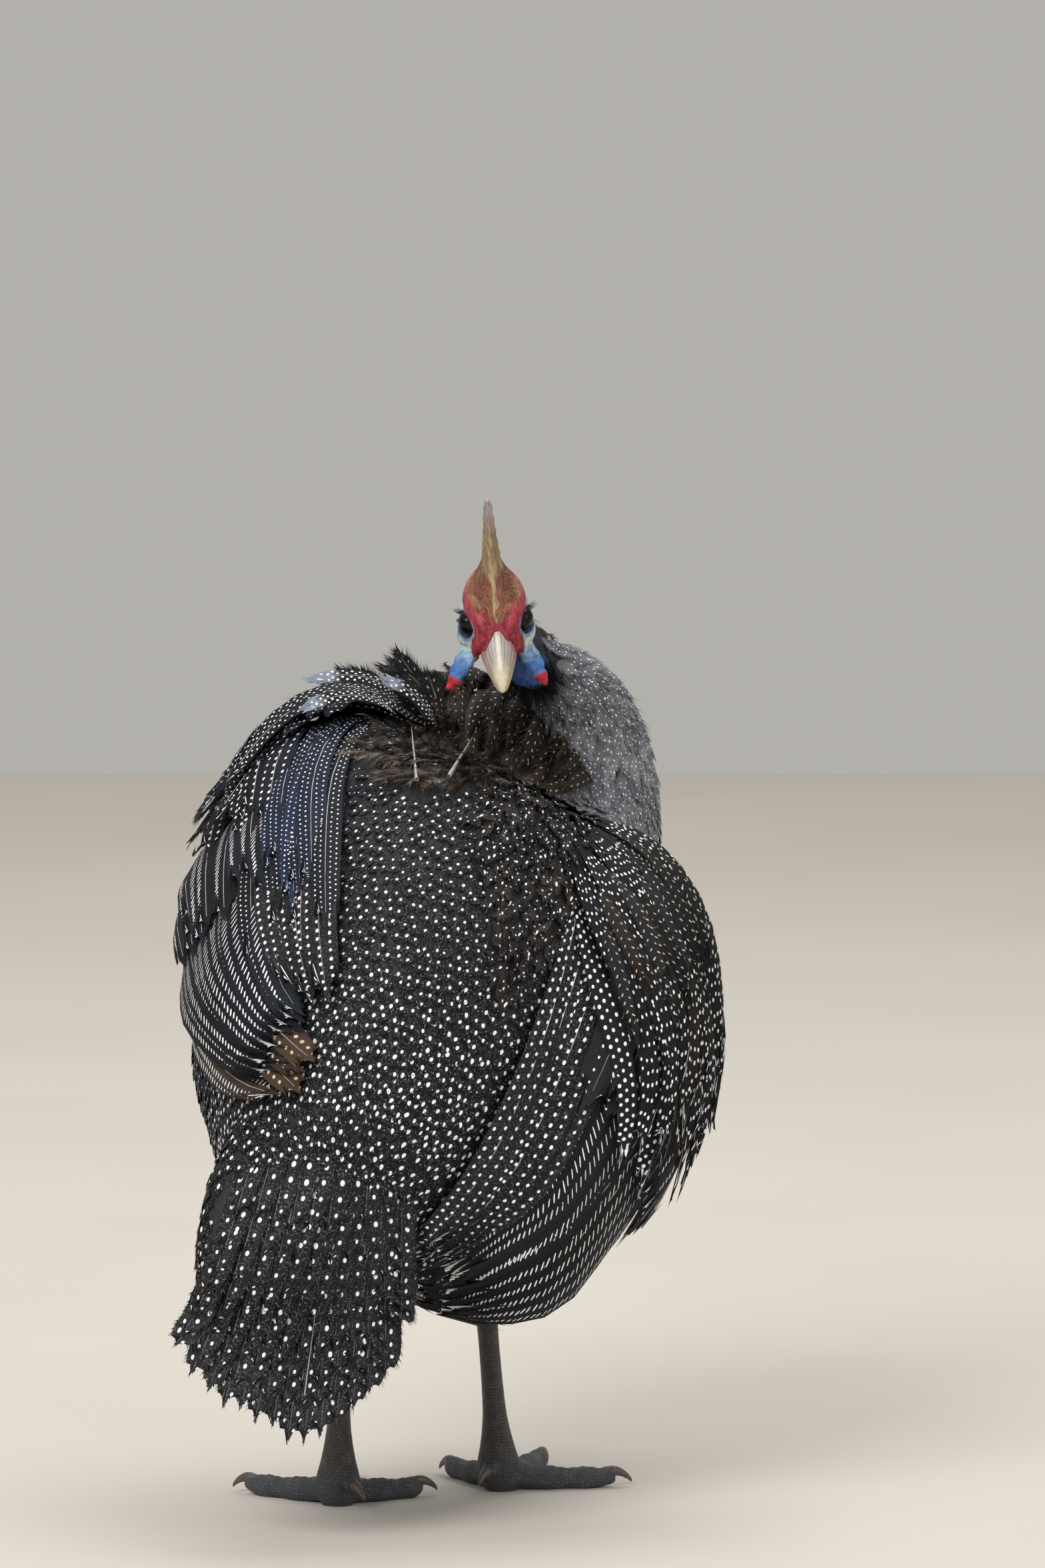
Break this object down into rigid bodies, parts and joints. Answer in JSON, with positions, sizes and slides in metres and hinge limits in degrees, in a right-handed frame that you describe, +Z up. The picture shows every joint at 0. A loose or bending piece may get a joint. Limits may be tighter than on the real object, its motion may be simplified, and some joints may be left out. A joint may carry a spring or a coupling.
{
  "type": "guinea fowl",
  "caption": "Standing helmeted guinea fowl, head turned round over its ruffled back, with drooping wings, hanging tail, tall casque and red-tipped blue wattles.",
  "frame": {"origin": "on the floor, at the centre of the whole box's foot print", "axes": "+Z up; +X to the bird's right side and +Y roughly the way its breast faces, so the turned head looks along -Y"},
  "size_m": [0.2354, 0.2656, 0.4295],
  "materials": {
    "plumage": "dense matt feather with a faint sheen",
    "hackle": "soft grey feather",
    "blue_skin": "bare wrinkled skin, satin",
    "face_skin": "bare skin, satin",
    "casque_horn": "rough horn",
    "bill_horn": "smooth satin horn",
    "eye": "wet gloss",
    "leg_skin": "scaled matt skin",
    "claw_horn": "satin horn"
  },
  "bodies": {
    "root": {"torso": "plumage", "neck_lower": "hackle", "neck_upper": "blue_skin", "head": "face_skin", "casque": "casque_horn", "bill_upper": "bill_horn", "bill_lower": "bill_horn", "eye_left": "eye", "wattle_left": "blue_skin", "eye_right": "eye", "wattle_right": "blue_skin", "tail": "plumage", "wing_left": "plumage", "thigh_left": "plumage", "shank_left": "leg_skin", "foot_left": "leg_skin", "claw_left_outer": "claw_horn", "claw_left_middle": "claw_horn", "claw_left_inner": "claw_horn", "claw_left_hind": "claw_horn", "wing_right": "plumage", "thigh_right": "plumage", "shank_right": "leg_skin", "foot_right": "leg_skin", "claw_right_outer": "claw_horn", "claw_right_middle": "claw_horn", "claw_right_inner": "claw_horn", "claw_right_hind": "claw_horn"}
  },
  "joints": []
}
